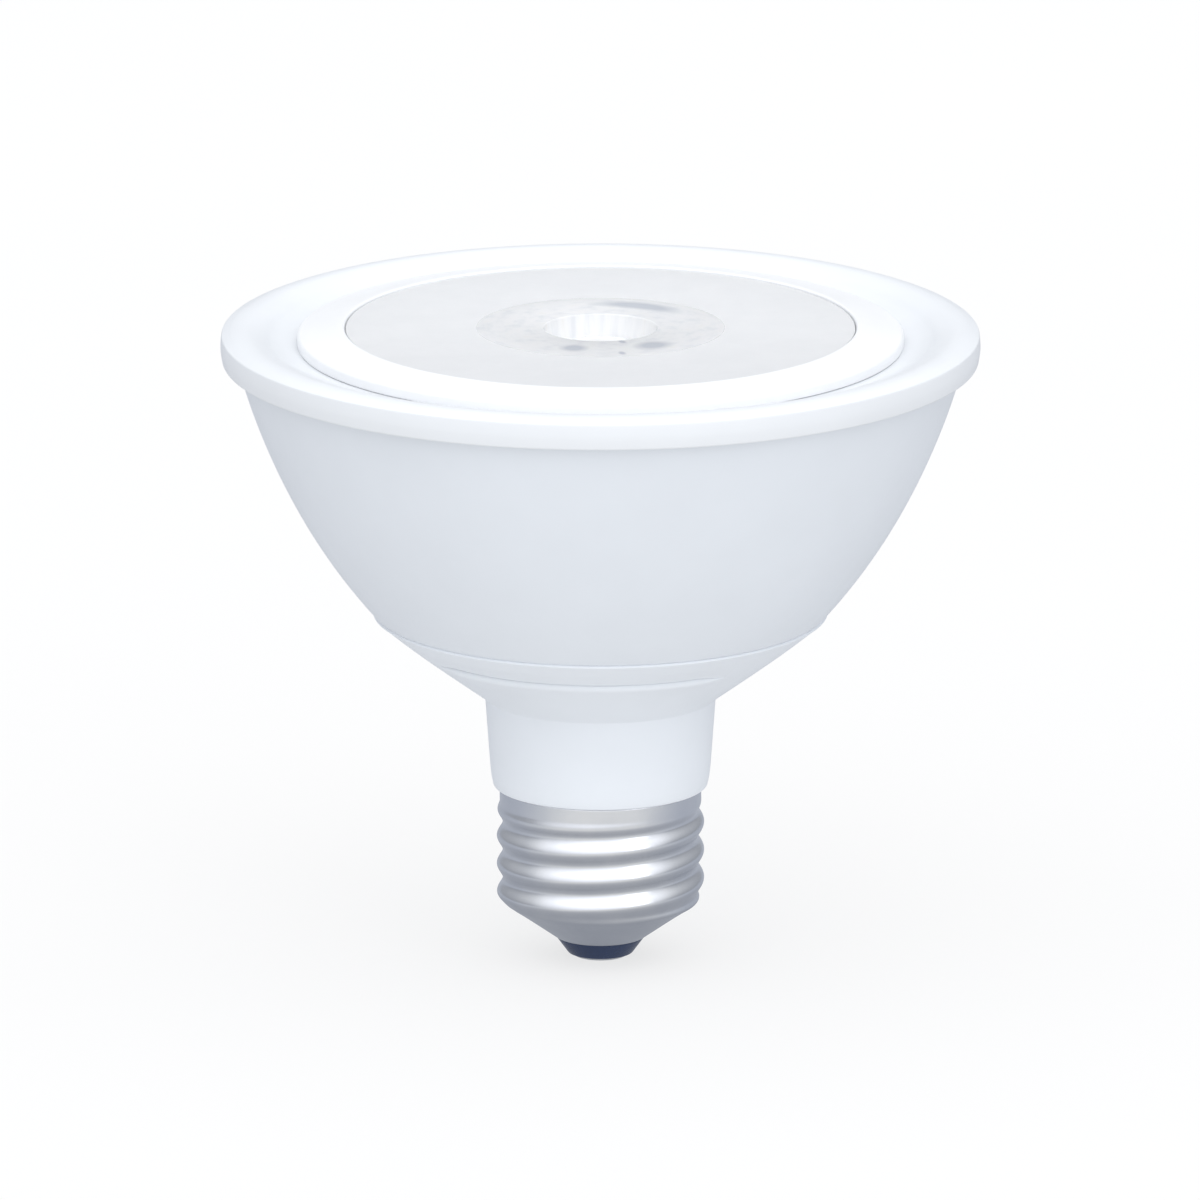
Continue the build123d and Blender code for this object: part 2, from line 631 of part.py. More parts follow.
with BuildPart() as output_choke:
    with BuildSketch(Plane.XZ.offset(-board_face)):
        with Locations(choke_xz):
            Circle(3.0)
    extrude(amount=6.0)
    with BuildSketch(Plane.XZ.offset(-(board_face - 1.2))):
        with Locations(choke_xz):
            Circle(3.2)
            Circle(2.55, mode=Mode.SUBTRACT)
    extrude(amount=3.6, mode=Mode.SUBTRACT)
    with BuildSketch(lead_plane):
        with Locations((choke_xz[0] - 1.5, choke_xz[1]), (choke_xz[0] + 1.5, choke_xz[1])):
            Circle(lead_r)
    extrude(amount=lead_len)
output_choke.part.label = "output_choke"
export_step(output_choke.part, "parts/output_choke.step")

# transformer: core, bobbin and winding
trans_y, trans_z = board_face - 5.50, 42.0
core_x, core_z, core_y = 14.0, 12.8, 6.0
with BuildPart() as transformer_core:
    with Locations((0, trans_y, trans_z)):
        Box(core_x, core_y, core_z)
        with Locations((-3.4, 0, 0), (3.4, 0, 0)):
            Box(3.2, core_y + 1.0, 8.8, mode=Mode.SUBTRACT)
transformer_core.part.label = "transformer_core"
export_step(transformer_core.part, "parts/transformer_core.step")

with BuildPart() as transformer_bobbin:
    with Locations((0, trans_y, trans_z)):
        Box(5.2, 7.6, 8.6)
        with Locations((0, 0, -3.85), (0, 0, 3.85)):
            Box(9.8, 11.0, 0.9)
        Box(3.8, 6.2, 12.0, mode=Mode.SUBTRACT)
transformer_bobbin.part.label = "transformer_bobbin"
export_step(transformer_bobbin.part, "parts/transformer_bobbin.step")

with BuildPart() as transformer_winding:
    with BuildSketch(Plane.XY.offset(trans_z - 3.40)):
        with Locations((0, trans_y)):
            RectangleRounded(9.0, 10.2, 1.4)
            Rectangle(5.2, 7.6, mode=Mode.SUBTRACT)
    extrude(amount=6.80)
transformer_winding.part.label = "transformer_winding"
export_step(transformer_winding.part, "parts/transformer_winding.step")

# fusible resistor lying across the tail of the board
with BuildPart() as fuse_resistor:
    with BuildSketch(Plane.YZ.offset(-4.20)):
        with Locations((board_face - 2.00, fuse_z)):
            Circle(1.70)
    extrude(amount=8.40)
    fillet(fuse_resistor.edges(), 0.6)
    with BuildSketch(Plane.YZ.offset(-fuse_half - lead_r)):
        with Locations((board_face - 2.00, fuse_z)):
            Circle(lead_r)
    extrude(amount=2 * (fuse_half + lead_r))
    with BuildSketch(lead_plane):
        with Locations((-fuse_half, fuse_z), (fuse_half, fuse_z)):
            Circle(lead_r)
    extrude(amount=board_back + 0.90 - board_face + 2.00)
fuse_resistor.part.label = "fuse_resistor"
export_step(fuse_resistor.part, "parts/fuse_resistor.step")

# varistor disc behind the board
with BuildPart() as varistor:
    with BuildSketch(Plane.YZ.offset(-1.60)):
        with Locations((board_back + 3.70, varistor_z)):
            Circle(3.30)
    extrude(amount=3.20)
    fillet(varistor.edges(), 0.8)
    with BuildSketch(Plane.XZ.offset(-(board_back + 3.00))):
        with Locations((0.0, varistor_z - 2.5), (0.0, varistor_z + 2.5)):
            Circle(lead_r)
    extrude(amount=board_back + 3.00 - board_face + 0.70)
varistor.part.label = "varistor"
export_step(varistor.part, "parts/varistor.step")

# moulded packages flat on the board's back face: centre (x, z), width, height, thickness
for chip_name, chip_centres, chip_w, chip_h, chip_t in (
        ("bridge_rectifier", [(-5.6, 26.0)], 4.7, 4.0, 1.6),
        ("driver_chip", [(5.6, 36.0)], 3.9, 4.9, 1.5),
        ("switching_transistor", [(-4.8, 41.0)], 6.5, 6.1, 2.3),
        ("chip_resistors", [(7.6, 30.0), (7.6, 27.5), (-0.2, 37.0), (-0.2, 39.5),
                            (5.6, 42.5), (5.6, 45.0), (-4.8, 47.5), (0.6, 44.0)],
         2.0, 1.25, 0.55)):
    with BuildPart() as chip:
        with BuildSketch(Plane.XZ.offset(-board_back)):
            with Locations(*chip_centres):
                Rectangle(chip_w, chip_h)
        extrude(amount=-chip_t, taper=4)
    chip.part.label = chip_name
    export_step(chip.part, "parts/" + chip_name + ".step")

# ------------------------------------------------------------------- wires
# straight runs joined by tangent arcs: points, bend radii, wire radius
led_x, led_y = led_wire_xy
pad_z = cob_top_z + 0.57
for wire_name, wire_points, bend_r, wire_r in (
        ("line_wire", [(0, 0, 2.5), (0, 0, 8.0), (-3.0, -2.0, 11.0), (-3.0, -2.0, 14.6),
                       (-3.0, board_face, 14.6)], [2.2, 2.0, 1.4], 0.60),
        ("neutral_wire", [(3.5, board_face, 15.0), (3.5, 0, 15.0), (3.5, 0, 9.0),
                          (11.82, 0, 9.0)], [1.4, 2.2], 0.50),
        ("led_wire_positive", [(-led_x, board_back, 50.0), (-led_x, led_y, 50.0),
                               (-led_x, led_y, pad_z), (-led_x, 6.4, pad_z)], [2.6, 1.3], 0.55),
        ("led_wire_negative", [(led_x, board_back, 50.0), (led_x, led_y, 50.0),
                               (led_x, led_y, pad_z), (led_x, 6.4, pad_z)], [2.6, 1.3], 0.55)):
    with BuildPart() as wire_run:
        with BuildLine() as route:
            FilletPolyline(*wire_points, radius=bend_r)
        with BuildSketch(Plane(origin=wire_points[0],
                               z_dir=Vector(*wire_points[1]) - Vector(*wire_points[0]))):
            Circle(wire_r)
        sweep(path=route.wire())
    wire_run.part.label = wire_name
    export_step(wire_run.part, "parts/" + wire_name + ".step")
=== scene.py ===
import bpy
import bmesh
import numpy as np
from math import sin, cos, tan, atan, atan2, radians, degrees, hypot, pi, sqrt
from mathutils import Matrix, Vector


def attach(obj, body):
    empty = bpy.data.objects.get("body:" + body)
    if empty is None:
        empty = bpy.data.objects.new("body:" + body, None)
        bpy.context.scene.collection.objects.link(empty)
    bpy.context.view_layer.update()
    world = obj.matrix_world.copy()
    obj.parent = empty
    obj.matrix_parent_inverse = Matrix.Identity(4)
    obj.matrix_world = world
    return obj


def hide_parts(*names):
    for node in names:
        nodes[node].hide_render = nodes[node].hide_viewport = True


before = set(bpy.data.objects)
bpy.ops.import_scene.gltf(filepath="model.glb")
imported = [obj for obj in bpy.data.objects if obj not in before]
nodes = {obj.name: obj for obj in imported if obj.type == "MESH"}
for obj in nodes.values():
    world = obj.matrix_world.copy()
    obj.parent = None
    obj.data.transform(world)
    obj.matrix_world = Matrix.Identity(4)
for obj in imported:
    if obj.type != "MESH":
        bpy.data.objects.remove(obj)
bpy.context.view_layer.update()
MM = 0.001


# ------------------------------------------------------------------ profiles
def smooth_fit(points, degree, n):
    """A rising profile (r, z) as n points of one smooth curve through the measured ones."""
    r = np.array([p[0] for p in points], float)
    z = np.array([p[1] for p in points], float)
    zc, zs = z.mean(), (z.max() - z.min()) / 2
    c = np.polyfit((z - zc) / zs, r, degree)
    zz = np.linspace(z[0], z[-1], n)
    rr = np.polyval(c, (zz - zc) / zs)
    return [(float(a), float(b)) for a, b in zip(rr, zz)]


def through(points, n):
    """n points of a smooth curve through the given ones (centripetal)."""
    p = np.array(points, float)
    p = np.vstack([2 * p[0] - p[1], p, 2 * p[-1] - p[-2]])
    t = np.concatenate([[0], np.cumsum(np.sqrt(np.linalg.norm(np.diff(p, axis=0), axis=1)))])
    out = []
    for s in np.linspace(t[1], t[-2], n):
        i = int(np.clip(np.searchsorted(t, s) - 1, 1, len(p) - 3))
        t0, t1, t2, t3 = t[i - 1], t[i], t[i + 1], t[i + 2]
        p0, p1, p2, p3 = p[i - 1], p[i], p[i + 1], p[i + 2]
        a1 = (t1 - s) / (t1 - t0) * p0 + (s - t0) / (t1 - t0) * p1
        a2 = (t2 - s) / (t2 - t1) * p1 + (s - t1) / (t2 - t1) * p2
        a3 = (t3 - s) / (t3 - t2) * p2 + (s - t2) / (t3 - t2) * p3
        b1 = (t2 - s) / (t2 - t0) * a1 + (s - t0) / (t2 - t0) * a2
        b2 = (t3 - s) / (t3 - t1) * a2 + (s - t1) / (t3 - t1) * a3
        q = (t2 - s) / (t2 - t1) * b1 + (s - t1) / (t2 - t1) * b2
        out.append((float(q[0]), float(q[1])))
    out[0], out[-1] = tuple(map(float, points[0])), tuple(map(float, points[-1]))
    return out


def rounded(corners, steps=6):
    """Open run of corners (r, z, radius), each rounded with its own radius."""
    out = []
    n = len(corners)
    for i, (r, z, rad) in enumerate(corners):
        if i in (0, n - 1) or rad <= 0:
            out.append((r, z))
            continue
        p = np.array([r, z])
        a = np.array(corners[i - 1][:2]) - p
        b = np.array(corners[i + 1][:2]) - p
        la, lb = np.linalg.norm(a), np.linalg.norm(b)
        a, b = a / la, b / lb
        half = np.arccos(np.clip(a @ b, -1, 1)) / 2
        cut = min(rad / tan(half), 0.49 * la, 0.49 * lb)
        rad = cut * tan(half)
        c = p + (a + b) / np.linalg.norm(a + b) * (rad / sin(half))
        s, e = p + a * cut - c, p + b * cut - c
        turn = np.arccos(np.clip((s @ e) / (np.linalg.norm(s) * np.linalg.norm(e)), -1, 1))
        sign = 1.0 if s[0] * e[1] - s[1] * e[0] > 0 else -1.0
        for k in range(steps + 1):
            w = sign * turn * k / steps
            out.append((float(c[0] + s[0] * cos(w) - s[1] * sin(w)),
                        float(c[1] + s[0] * sin(w) + s[1] * cos(w))))
    return out


def inset(points, t):
    out = []
    for i, (r, z) in enumerate(points):
        a, b = points[max(i - 1, 0)], points[min(i + 1, len(points) - 1)]
        dr, dz = b[0] - a[0], b[1] - a[1]
        n = hypot(dr, dz)
        out.append((r - dz / n * t, z + dr / n * t))
    return out


def joined(*runs):
    """Runs joined end to end, with repeated points dropped."""
    out = []
    for run in runs:
        for p in run:
            if not out or hypot(p[0] - out[-1][0], p[1] - out[-1][1]) > 1e-5:
                out.append((float(p[0]), float(p[1])))
    if hypot(out[0][0] - out[-1][0], out[0][1] - out[-1][1]) < 1e-5:
        out.pop()
    return out


# -------------------------------------------------------------------- meshes
def to_object(name, verts, faces, sharp_deg=32.0):
    me = bpy.data.meshes.new(name)
    me.from_pydata([tuple(np.array(v) * MM) for v in verts], [], faces)
    me.validate()
    bm = bmesh.new()
    bm.from_mesh(me)
    bmesh.ops.recalc_face_normals(bm, faces=bm.faces)
    bm.to_mesh(me)
    bm.free()
    me.shade_smooth()
    me.set_sharp_from_angle(angle=radians(sharp_deg))
    me.update()
    ob = bpy.data.objects.new(name, me)
    bpy.context.scene.collection.objects.link(ob)
    return ob


def lathe(name, profile, segs=256, sharp_deg=32.0):
    """Closed section (r, z) in mm turned about Z. Points on the axis become poles."""
    verts, rings = [], []
    cs = [(cos(2 * pi * j / segs), sin(2 * pi * j / segs)) for j in range(segs)]
    for r, z in profile:
        if r < 1e-4:
            rings.append([len(verts)] * segs)
            verts.append((0.0, 0.0, z))
        else:
            rings.append(list(range(len(verts), len(verts) + segs)))
            verts += [(r * c, r * s, z) for c, s in cs]
    faces = []
    n = len(profile)
    for i in range(n):
        a, b = rings[i], rings[(i + 1) % n]
        if a[0] == a[1] and b[0] == b[1]:
            continue
        for j in range(segs):
            k = (j + 1) % segs
            f = [a[j], a[k], b[k], b[j]]
            g = []
            for v in f:
                if v not in g:
                    g.append(v)
            if len(g) > 2:
                faces.append(g)
    return to_object(name, verts, faces, sharp_deg)


def place(ob, node, mat):
    ob.data.materials.clear()
    ob.data.materials.append(mat)
    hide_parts(node)
    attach(ob, "root")
    return ob


# ----------------------------------------------------------------- materials
def new_mat(name):
    m = bpy.data.materials.new(name)
    m.use_nodes = True
    nt = m.node_tree
    return m, nt, nt.nodes["Principled BSDF"]


def add(nt, kind, **values):
    n = nt.nodes.new(kind)
    for k, v in values.items():
        if k in n.inputs:
            n.inputs[k].default_value = v
        else:
            setattr(n, k, v)
    return n


def noise(nt, vec, scale, detail=4.0, rough=0.55):
    n = add(nt, "ShaderNodeTexNoise", Scale=scale, Detail=detail, Roughness=rough)
    nt.links.new(vec, n.inputs["Vector"])
    return n


def ramp(nt, fac, stops):
    r = add(nt, "ShaderNodeValToRGB")
    els = r.color_ramp.elements
    while len(els) < len(stops):
        els.new(0.5)
    for e, (pos, col) in zip(els, stops):
        e.position = pos
        e.color = (*col, 1.0) if len(col) == 3 else col
    nt.links.new(fac, r.inputs["Fac"])
    return r


def to_range(nt, fac, lo, hi, a=0.3, b=0.7):
    m = add(nt, "ShaderNodeMapRange")
    m.inputs["From Min"].default_value = a
    m.inputs["From Max"].default_value = b
    m.inputs["To Min"].default_value = lo
    m.inputs["To Max"].default_value = hi
    nt.links.new(fac, m.inputs["Value"])
    return m


def bump(nt, height, strength, distance, normal=None):
    b = add(nt, "ShaderNodeBump", Strength=strength, Distance=distance)
    nt.links.new(height, b.inputs["Height"])
    if normal is not None:
        nt.links.new(normal, b.inputs["Normal"])
    return b


def shade(col, k):
    return tuple(max(0.0, min(1.0, c * k)) for c in col)


def plastic(name, col, rough=(0.34, 0.44), tone=0.012, grain=5200.0, depth=0.000003, coat=0.0,
            specular=0.5, sss=0.0):
    """Moulded plastic: faint cloudiness, satin grain, slightly uneven gloss."""
    m, nt, b = new_mat(name)
    co = add(nt, "ShaderNodeTexCoord").outputs["Object"]
    cloud = noise(nt, co, 85.0, 3.0)
    r = ramp(nt, cloud.outputs["Fac"], [(0.30, shade(col, 1 - tone)), (0.70, shade(col, 1 + tone))])
    nt.links.new(r.outputs["Color"], b.inputs["Base Color"])
    gl = noise(nt, co, 420.0, 3.0)
    nt.links.new(to_range(nt, gl.outputs["Fac"], *rough).outputs["Result"], b.inputs["Roughness"])
    fine = noise(nt, co, grain, 2.0)
    soft = noise(nt, co, 260.0, 2.0)
    b1 = bump(nt, soft.outputs["Fac"], 0.10, 0.000012)
    b2 = bump(nt, fine.outputs["Fac"], 0.25, depth, b1.outputs["Normal"])
    nt.links.new(b2.outputs["Normal"], b.inputs["Normal"])
    b.inputs["Specular IOR Level"].default_value = specular
    b.inputs["Coat Weight"].default_value = coat
    b.inputs["Coat Roughness"].default_value = 0.12
    if sss > 0:
        b.inputs["Subsurface Weight"].default_value = sss
        b.inputs["Subsurface Scale"].default_value = 0.0012
    return m


def metal(name, col, rough=(0.22, 0.34), grain=1800.0, depth=0.000006, stretch=(1.0, 1.0, 1.0), tone=0.05):
    m, nt, b = new_mat(name)
    b.inputs["Metallic"].default_value = 1.0
    co = add(nt, "ShaderNodeTexCoord").outputs["Object"]
    mp = add(nt, "ShaderNodeMapping")
    mp.inputs["Scale"].default_value = stretch
    nt.links.new(co, mp.inputs["Vector"])
    n1 = noise(nt, mp.outputs["Vector"], grain, 3.0)
    n2 = noise(nt, co, 140.0, 3.0)
    r = ramp(nt, n2.outputs["Fac"], [(0.3, shade(col, 1 - tone)), (0.7, shade(col, 1 + tone))])
    nt.links.new(r.outputs["Color"], b.inputs["Base Color"])
    nt.links.new(to_range(nt, n1.outputs["Fac"], *rough).outputs["Result"], b.inputs["Roughness"])
    nt.links.new(bump(nt, n1.outputs["Fac"], 0.4, depth).outputs["Normal"], b.inputs["Normal"])
    return m


def polar_coords(nt):
    """(angle, radius, z) of the object's own frame."""
    co = add(nt, "ShaderNodeTexCoord").outputs["Object"]
    sep = add(nt, "ShaderNodeSeparateXYZ")
    nt.links.new(co, sep.inputs["Vector"])
    ang = add(nt, "ShaderNodeMath", operation="ARCTAN2")
    nt.links.new(sep.outputs["Y"], ang.inputs[0])
    nt.links.new(sep.outputs["X"], ang.inputs[1])
    flat = add(nt, "ShaderNodeCombineXYZ")
    nt.links.new(sep.outputs["X"], flat.inputs["X"])
    nt.links.new(sep.outputs["Y"], flat.inputs["Y"])
    ln = add(nt, "ShaderNodeVectorMath", operation="LENGTH")
    nt.links.new(flat.outputs["Vector"], ln.inputs[0])
    return co, ang.outputs["Value"], ln.outputs["Value"], sep.outputs["Z"]


def nickel():
    """Satin nickel plate: faint lines from forming run up the wall, soft blotches, cool tint."""
    m, nt, b = new_mat("nickel_plate")
    b.inputs["Metallic"].default_value = 1.0
    co, ang, rad, z = polar_coords(nt)
    v = add(nt, "ShaderNodeCombineXYZ")
    k = add(nt, "ShaderNodeMath", operation="MULTIPLY")
    k.inputs[1].default_value = 46.0
    nt.links.new(ang, k.inputs[0])
    nt.links.new(k.outputs["Value"], v.inputs["X"])
    kz = add(nt, "ShaderNodeMath", operation="MULTIPLY")
    kz.inputs[1].default_value = 90.0
    nt.links.new(z, kz.inputs[0])
    nt.links.new(kz.outputs["Value"], v.inputs["Y"])
    lines = noise(nt, v.outputs["Vector"], 1.0, 5.0, 0.6)
    blot = noise(nt, co, 190.0, 4.0)
    r = ramp(nt, blot.outputs["Fac"], [(0.25, (0.612, 0.630, 0.664)), (0.55, (0.650, 0.666, 0.694)),
                                       (0.8, (0.690, 0.702, 0.722))])
    nt.links.new(r.outputs["Color"], b.inputs["Base Color"])
    nt.links.new(to_range(nt, lines.outputs["Fac"], 0.17, 0.27).outputs["Result"], b.inputs["Roughness"])
    fine = noise(nt, co, 2600.0, 2.0)
    b1 = bump(nt, lines.outputs["Fac"], 0.14, 0.00003)
    b2 = bump(nt, fine.outputs["Fac"], 0.08, 0.000006, b1.outputs["Normal"])
    nt.links.new(b2.outputs["Normal"], b.inputs["Normal"])
    return m


def acrylic():
    """Frosted plate that turns clear inside the collimator's edge."""
    m, nt, b = new_mat("lens_acrylic")
    co, ang, rad, z = polar_coords(nt)
    edge = to_range(nt, rad, 0.0, 1.0, 0.01535, 0.01575)      # 0 clear, 1 frosted
    cloud = noise(nt, co, 240.0, 3.0)
    fine = noise(nt, co, 5200.0, 3.0)
    tint = ramp(nt, cloud.outputs["Fac"], [(0.3, (0.800, 0.811, 0.828)), (0.7, (0.826, 0.836, 0.852))])
    # painted reflections: grey patches that stand for images of the dark inside, each a soft patch (angle, half
    # width, radius, half depth)
    painted_dark_mask = None
    for centre, wide, r0, deep in ((-107.0, 8.5, 0.0113, 0.0017), (-55.0, 12.0, 0.0114, 0.0019), (66.0, 27.0, 0.0124, 0.0017),
                                    (-70.2, 3.2, 0.0080, 0.0008), (-78.7, 1.9, 0.0137, 0.0009)):
        da = add(nt, "ShaderNodeMath", operation="SUBTRACT")
        nt.links.new(ang, da.inputs[0])
        da.inputs[1].default_value = radians(centre)
        dr = add(nt, "ShaderNodeMath", operation="SUBTRACT")
        nt.links.new(rad, dr.inputs[0])
        dr.inputs[1].default_value = r0
        pair = add(nt, "ShaderNodeCombineXYZ")
        for src, dst, k in ((da, "X", 1.0 / radians(wide)), (dr, "Y", 1.0 / deep)):
            m1 = add(nt, "ShaderNodeMath", operation="MULTIPLY")
            nt.links.new(src.outputs["Value"], m1.inputs[0])
            m1.inputs[1].default_value = k
            nt.links.new(m1.outputs["Value"], pair.inputs[dst])
        far = add(nt, "ShaderNodeVectorMath", operation="LENGTH")
        nt.links.new(pair.outputs["Vector"], far.inputs[0])
        soft = to_range(nt, far.outputs["Value"], 1.0, 0.0, 0.55, 1.25)
        if painted_dark_mask is None:
            painted_dark_mask = soft.outputs["Result"]
        else:
            mx = add(nt, "ShaderNodeMath", operation="MAXIMUM")
            nt.links.new(painted_dark_mask, mx.inputs[0])
            nt.links.new(soft.outputs["Result"], mx.inputs[1])
            painted_dark_mask = mx.outputs["Value"]
    # painted reflections: bright and grey streaks round the collimator, painted into its colour
    sv = add(nt, "ShaderNodeCombineXYZ")
    for src, dst, k in ((ang, "X", 5.0), (rad, "Y", 620.0)):
        m1 = add(nt, "ShaderNodeMath", operation="MULTIPLY")
        nt.links.new(src, m1.inputs[0])
        m1.inputs[1].default_value = k
        nt.links.new(m1.outputs["Value"], sv.inputs[dst])
    painted_streak = noise(nt, sv.outputs["Vector"], 1.0, 3.0)
    painted_glint = ramp(nt, painted_streak.outputs["Fac"], [(0.32, (0.860, 0.875, 0.905)), (0.46, (0.945, 0.952, 0.962)),
                                             (0.58, (0.985, 0.988, 0.990)), (0.72, (0.955, 0.950, 0.930))])
    # painted grey patches laid over the clear optic's colour
    painted_grey = add(nt, "ShaderNodeMix", data_type="RGBA")
    nt.links.new(painted_dark_mask, painted_grey.inputs["Factor"])
    nt.links.new(painted_glint.outputs["Color"], painted_grey.inputs["A"])
    painted_grey.inputs["B"].default_value = (0.590, 0.625, 0.680, 1.0)
    mixc = add(nt, "ShaderNodeMix", data_type="RGBA")
    nt.links.new(edge.outputs["Result"], mixc.inputs["Factor"])
    nt.links.new(painted_grey.outputs["Result"], mixc.inputs["A"])
    # painted shade: the frosted plate is drawn darker towards its front (-Y) edge and lighter towards the back
    painted_shade_axes = add(nt, "ShaderNodeSeparateXYZ")
    nt.links.new(co, painted_shade_axes.inputs["Vector"])
    depth = to_range(nt, painted_shade_axes.outputs["Y"], 0.0, 1.0, -0.033, 0.033)
    shade = ramp(nt, depth.outputs["Result"], [(0.0, (0.905, 0.905, 0.905)), (0.22, (0.935, 0.934, 0.932)),
                                               (0.5, (0.985, 0.984, 0.980)), (0.8, (1.0, 1.0, 0.996))])
    plate = add(nt, "ShaderNodeMix", data_type="RGBA", blend_type="MULTIPLY")
    plate.inputs["Factor"].default_value = 1.0
    nt.links.new(tint.outputs["Color"], plate.inputs["A"])
    nt.links.new(shade.outputs["Color"], plate.inputs["B"])
    nt.links.new(plate.outputs["Result"], mixc.inputs["B"])
    nt.links.new(mixc.outputs["Result"], b.inputs["Base Color"])
    b.inputs["IOR"].default_value = 1.49
    spot = to_range(nt, rad, 0.24, 0.38, 0.0066, 0.0074)      # pocket whiter than the ring of the collimator
    tr = add(nt, "ShaderNodeMix", data_type="FLOAT")
    nt.links.new(edge.outputs["Result"], tr.inputs["Factor"])
    nt.links.new(spot.outputs["Result"], tr.inputs["A"])
    tr.inputs["B"].default_value = 0.22
    nt.links.new(tr.outputs["Result"], b.inputs["Transmission Weight"])
    frost = to_range(nt, fine.outputs["Fac"], 0.42, 0.56)
    rg = add(nt, "ShaderNodeMath", operation="MULTIPLY")
    nt.links.new(frost.outputs["Result"], rg.inputs[0])
    nt.links.new(edge.outputs["Result"], rg.inputs[1])
    rg2 = add(nt, "ShaderNodeMath", operation="ADD")
    rg2.inputs[1].default_value = 0.03
    nt.links.new(rg.outputs["Value"], rg2.inputs[0])
    nt.links.new(rg2.outputs["Value"], b.inputs["Roughness"])
    hb = add(nt, "ShaderNodeMath", operation="MULTIPLY")
    nt.links.new(fine.outputs["Fac"], hb.inputs[0])
    nt.links.new(edge.outputs["Result"], hb.inputs[1])
    nt.links.new(bump(nt, hb.outputs["Value"], 0.4, 0.000008).outputs["Normal"], b.inputs["Normal"])
    clear = add(nt, "ShaderNodeBsdfTransparent")
    path = add(nt, "ShaderNodeLightPath")
    mix = add(nt, "ShaderNodeMixShader")
    nt.links.new(path.outputs["Is Shadow Ray"], mix.inputs["Fac"])
    nt.links.new(b.outputs["BSDF"], mix.inputs[1])
    nt.links.new(clear.outputs["BSDF"], mix.inputs[2])
    nt.links.new(mix.outputs["Shader"], nt.nodes["Material Output"].inputs["Surface"])
    return m


WHITE = plastic("white_case", (0.770, 0.806, 0.852), rough=(0.38, 0.46))
WHITE_BODY = plastic("white_body", (0.718, 0.754, 0.801), rough=(0.38, 0.46))
WHITE_RIM = plastic("white_rim", (0.752, 0.776, 0.806), rough=(0.28, 0.34), grain=6500.0, depth=0.0000015)
WHITE_RING = plastic("white_ring", (0.848, 0.860, 0.876), rough=(0.28, 0.34), grain=6500.0, depth=0.0000015)
NICKEL = nickel()
LENS = acrylic()
BLACK = plastic("insulator_black", (0.017, 0.031, 0.078), rough=(0.18, 0.30), tone=0.15)
TIN = metal("tinned_contact", (0.74, 0.74, 0.73), rough=(0.28, 0.42), grain=900.0)

inner = {
    "heat_sink": metal("cast_aluminium", (0.80, 0.81, 0.83), rough=(0.38, 0.55), grain=2200.0, depth=0.00002),
    "heat_sink_screws": metal("zinc_screw", (0.66, 0.67, 0.69), rough=(0.25, 0.38), grain=1500.0),
    "lens_gasket": plastic("silicone_gasket", (0.78, 0.78, 0.77), rough=(0.6, 0.75)),
    "thermal_pad": plastic("thermal_pad", (0.48, 0.50, 0.54), rough=(0.7, 0.85), tone=0.08, grain=1800.0),
    "cob_board": plastic("cob_ceramic", (0.90, 0.90, 0.88), rough=(0.35, 0.5)),
    "cob_phosphor": plastic("phosphor", (0.90, 0.66, 0.10), rough=(0.3, 0.45), tone=0.08, sss=0.2),
    "cob_holder": plastic("holder_white", (0.90, 0.90, 0.89), rough=(0.3, 0.42)),
    "driver_cover": WHITE,
    "driver_board": plastic("board_laminate", (0.045, 0.23, 0.10), rough=(0.25, 0.4), tone=0.18, grain=900.0),
    "bulk_capacitor": plastic("capacitor_sleeve", (0.035, 0.035, 0.06), rough=(0.2, 0.3), tone=0.1),
    "film_capacitor": plastic("film_dip", (0.55, 0.11, 0.04), rough=(0.15, 0.28), tone=0.1),
    "output_choke": metal("ferrite", (0.10, 0.10, 0.105), rough=(0.5, 0.65), grain=2600.0),
    "transformer_winding": plastic("winding_tape", (0.80, 0.56, 0.08), rough=(0.12, 0.22), tone=0.08),
    "transformer_bobbin": plastic("package_black", (0.03, 0.03, 0.032), rough=(0.4, 0.55), tone=0.15),
    "fuse_resistor": plastic("resistor_lacquer", (0.16, 0.34, 0.28), rough=(0.2, 0.32), tone=0.1),
    "varistor": plastic("varistor_dip", (0.06, 0.12, 0.42), rough=(0.2, 0.32), tone=0.1),
    "line_wire": plastic("wire_black", (0.03, 0.03, 0.03), rough=(0.3, 0.42), tone=0.1),
    "neutral_wire": plastic("wire_white", (0.84, 0.84, 0.83), rough=(0.3, 0.42)),
    "led_wire_positive": plastic("wire_red", (0.52, 0.03, 0.025), rough=(0.3, 0.42), tone=0.1),
}
same = {"cob_holder_screws": "heat_sink_screws", "output_capacitor": "bulk_capacitor",
        "transformer_core": "output_choke", "bridge_rectifier": "transformer_bobbin",
        "driver_chip": "transformer_bobbin", "switching_transistor": "transformer_bobbin",
        "chip_resistors": "transformer_bobbin", "led_wire_negative": "line_wire"}
for name, source in same.items():
    inner[name] = inner[source]
for name, mat in inner.items():
    ob = nodes[name]
    ob.data.materials.clear()
    ob.data.materials.append(mat)
    ob.data.shade_smooth()
    ob.data.set_sharp_from_angle(angle=radians(30))

